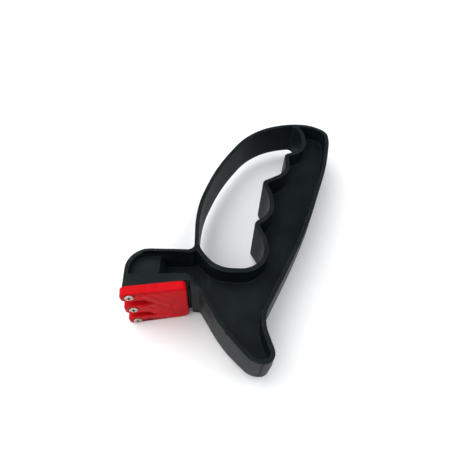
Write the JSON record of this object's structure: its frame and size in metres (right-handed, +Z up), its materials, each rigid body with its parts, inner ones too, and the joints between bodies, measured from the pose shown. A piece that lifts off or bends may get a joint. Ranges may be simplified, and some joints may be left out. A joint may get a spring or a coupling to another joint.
{
  "type": "knife and scissors sharpener",
  "caption": "Hand-held pull-through sharpener: finger-loop handle, forked red cutting head with a knife notch and a scissors notch.",
  "frame": {"origin": "centre of the bounding box's bottom face, on the surface that the sharpener lies on", "axes": "+Y from the foot to the top of the finger loop, +X from the cutting head to the back of the grip, +Z up through the thickness"},
  "size_m": [0.0976, 0.1334, 0.0279],
  "materials": {
    "handle": "satin moulded, near black",
    "head": "satin gloss moulded, red",
    "cutters": "ground carbide",
    "screws": "bright nickel"
  },
  "bodies": {
    "root": {"handle": "handle", "head_cover": "head", "knife_cutter_upper": "cutters", "knife_cutter_lower": "cutters", "scissors_cutter_upper": "cutters", "scissors_cutter_lower": "cutters", "head_screws": "screws"}
  },
  "joints": []
}
